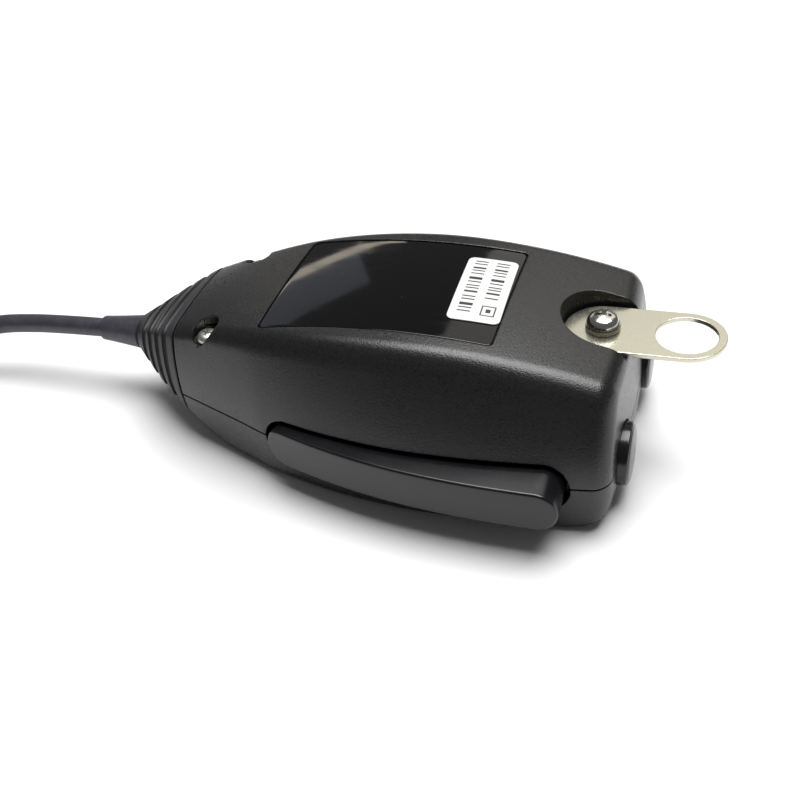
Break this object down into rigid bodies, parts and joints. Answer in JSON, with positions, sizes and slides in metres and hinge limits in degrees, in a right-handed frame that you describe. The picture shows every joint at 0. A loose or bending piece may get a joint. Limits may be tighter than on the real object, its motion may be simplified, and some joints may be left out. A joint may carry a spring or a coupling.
{
  "type": "hand microphone",
  "caption": "Hand microphone lying face down, with a press-to-talk bar, end buttons, keypad, hanger tab, ribbed cable boot and a curly cord ending in a round plug.",
  "frame": {"origin": "on the symmetry plane, on the flat bar of the front face between the keypad well and the sound slots, at the height of the surface it lies on", "axes": "+X from the cable end to the top end, -Y is the side of the press-to-talk bar, +Z out of the rear cover"},
  "size_m": [0.3317, 0.0706, 0.0365],
  "materials": {
    "case_plastic": "fine spark texture, black",
    "gloss_plastic": "polished black",
    "satin_plastic": "satin black",
    "key_rubber": "grey silicone",
    "boot_rubber": "semi-matt black",
    "cable_jacket": "dark blue-grey, satin",
    "nickel": "nickel plate",
    "zinc_screw": "zinc plate",
    "label_film": "white film",
    "circuit_board": "green solder mask",
    "component": "moulded black",
    "bare_metal": "bare",
    "cloth": "black weave"
  },
  "bodies": {
    "housing": {"rear_shell": "case_plastic", "front_shell": "case_plastic", "rear_panel": "gloss_plastic", "data_label": "label_film", "hanger_tab": "nickel", "hanger_washer": "nickel", "hanger_screw": "nickel", "key_mat": "key_rubber", "main_board": "circuit_board", "board_connector": "component", "tone_chip": "component", "wire_bundle": "cable_jacket", "sound_cloth": "cloth", "mic_gasket": "boot_rubber", "mic_capsule": "bare_metal", "ptt_pin": "bare_metal", "ptt_spring": "bare_metal", "ptt_switch": "component", "cable_boot": "boot_rubber", "cable_sleeve": "cable_jacket", "cable_core": "cable_jacket", "cable_clamp": "bare_metal", "case_screw_near": "zinc_screw", "case_screw_far": "zinc_screw", "clamp_screw_near": "zinc_screw", "clamp_screw_far": "zinc_screw", "up_switch": "component", "down_switch": "component", "board_screw_1": "zinc_screw", "board_screw_2": "zinc_screw", "board_screw_3": "zinc_screw", "board_screw_4": "zinc_screw", "cord_lead": "cable_jacket", "cord_coil": "cable_jacket", "cord_tail": "cable_jacket", "plug_boot": "boot_rubber", "plug_shell": "nickel", "plug_ring": "nickel", "plug_insert": "component"},
    "ptt": {"ptt_bar": "satin_plastic"},
    "up": {"up_button": "satin_plastic"},
    "down": {"down_button": "satin_plastic"},
    "key_1_1": {"key_1_1": "key_rubber"},
    "key_1_2": {"key_1_2": "key_rubber"},
    "key_1_3": {"key_1_3": "key_rubber"},
    "key_1_4": {"key_1_4": "key_rubber"},
    "key_2_1": {"key_2_1": "key_rubber"},
    "key_2_2": {"key_2_2": "key_rubber"},
    "key_2_3": {"key_2_3": "key_rubber"},
    "key_2_4": {"key_2_4": "key_rubber"},
    "key_3_1": {"key_3_1": "key_rubber"},
    "key_3_2": {"key_3_2": "key_rubber"},
    "key_3_3": {"key_3_3": "key_rubber"},
    "key_3_4": {"key_3_4": "key_rubber"},
    "key_4_1": {"key_4_1": "key_rubber"},
    "key_4_2": {"key_4_2": "key_rubber"},
    "key_4_3": {"key_4_3": "key_rubber"},
    "key_4_4": {"key_4_4": "key_rubber"}
  },
  "joints": [
    {"name": "ptt_press", "type": "hinge", "parent": "housing", "child": "ptt", "pos_m": [-0.0335, -0.02276, 0.0098], "axis": [0, 0, 1], "range_deg": [0, 3], "stiffness_Nm_per_rad": 1.2, "springref_deg": -5.73, "deforming": ["ptt_spring"]},
    {"name": "up_press", "type": "slide", "parent": "housing", "child": "up", "axis": [-1, 0, 0], "range_m": [0, 0.0008], "stiffness_N_per_m": 500, "springref_m": -0.0016},
    {"name": "down_press", "type": "slide", "parent": "housing", "child": "down", "axis": [-1, 0, 0], "range_m": [0, 0.0008], "stiffness_N_per_m": 500, "springref_m": -0.0016},
    {"name": "key_1_1_press", "type": "slide", "parent": "housing", "child": "key_1_1", "axis": [0, 0, 1], "range_m": [0, 0.0007], "stiffness_N_per_m": 300, "springref_m": -0.0015},
    {"name": "key_1_2_press", "type": "slide", "parent": "housing", "child": "key_1_2", "axis": [0, 0, 1], "range_m": [0, 0.0007], "stiffness_N_per_m": 300, "springref_m": -0.0015},
    {"name": "key_1_3_press", "type": "slide", "parent": "housing", "child": "key_1_3", "axis": [0, 0, 1], "range_m": [0, 0.0007], "stiffness_N_per_m": 300, "springref_m": -0.0015},
    {"name": "key_1_4_press", "type": "slide", "parent": "housing", "child": "key_1_4", "axis": [0, 0, 1], "range_m": [0, 0.0007], "stiffness_N_per_m": 300, "springref_m": -0.0015},
    {"name": "key_2_1_press", "type": "slide", "parent": "housing", "child": "key_2_1", "axis": [0, 0, 1], "range_m": [0, 0.0007], "stiffness_N_per_m": 300, "springref_m": -0.0015},
    {"name": "key_2_2_press", "type": "slide", "parent": "housing", "child": "key_2_2", "axis": [0, 0, 1], "range_m": [0, 0.0007], "stiffness_N_per_m": 300, "springref_m": -0.0015},
    {"name": "key_2_3_press", "type": "slide", "parent": "housing", "child": "key_2_3", "axis": [0, 0, 1], "range_m": [0, 0.0007], "stiffness_N_per_m": 300, "springref_m": -0.0015},
    {"name": "key_2_4_press", "type": "slide", "parent": "housing", "child": "key_2_4", "axis": [0, 0, 1], "range_m": [0, 0.0007], "stiffness_N_per_m": 300, "springref_m": -0.0015},
    {"name": "key_3_1_press", "type": "slide", "parent": "housing", "child": "key_3_1", "axis": [0, 0, 1], "range_m": [0, 0.0007], "stiffness_N_per_m": 300, "springref_m": -0.0015},
    {"name": "key_3_2_press", "type": "slide", "parent": "housing", "child": "key_3_2", "axis": [0, 0, 1], "range_m": [0, 0.0007], "stiffness_N_per_m": 300, "springref_m": -0.0015},
    {"name": "key_3_3_press", "type": "slide", "parent": "housing", "child": "key_3_3", "axis": [0, 0, 1], "range_m": [0, 0.0007], "stiffness_N_per_m": 300, "springref_m": -0.0015},
    {"name": "key_3_4_press", "type": "slide", "parent": "housing", "child": "key_3_4", "axis": [0, 0, 1], "range_m": [0, 0.0007], "stiffness_N_per_m": 300, "springref_m": -0.0015},
    {"name": "key_4_1_press", "type": "slide", "parent": "housing", "child": "key_4_1", "axis": [0, 0, 1], "range_m": [0, 0.0007], "stiffness_N_per_m": 300, "springref_m": -0.0015},
    {"name": "key_4_2_press", "type": "slide", "parent": "housing", "child": "key_4_2", "axis": [0, 0, 1], "range_m": [0, 0.0007], "stiffness_N_per_m": 300, "springref_m": -0.0015},
    {"name": "key_4_3_press", "type": "slide", "parent": "housing", "child": "key_4_3", "axis": [0, 0, 1], "range_m": [0, 0.0007], "stiffness_N_per_m": 300, "springref_m": -0.0015},
    {"name": "key_4_4_press", "type": "slide", "parent": "housing", "child": "key_4_4", "axis": [0, 0, 1], "range_m": [0, 0.0007], "stiffness_N_per_m": 300, "springref_m": -0.0015}
  ]
}
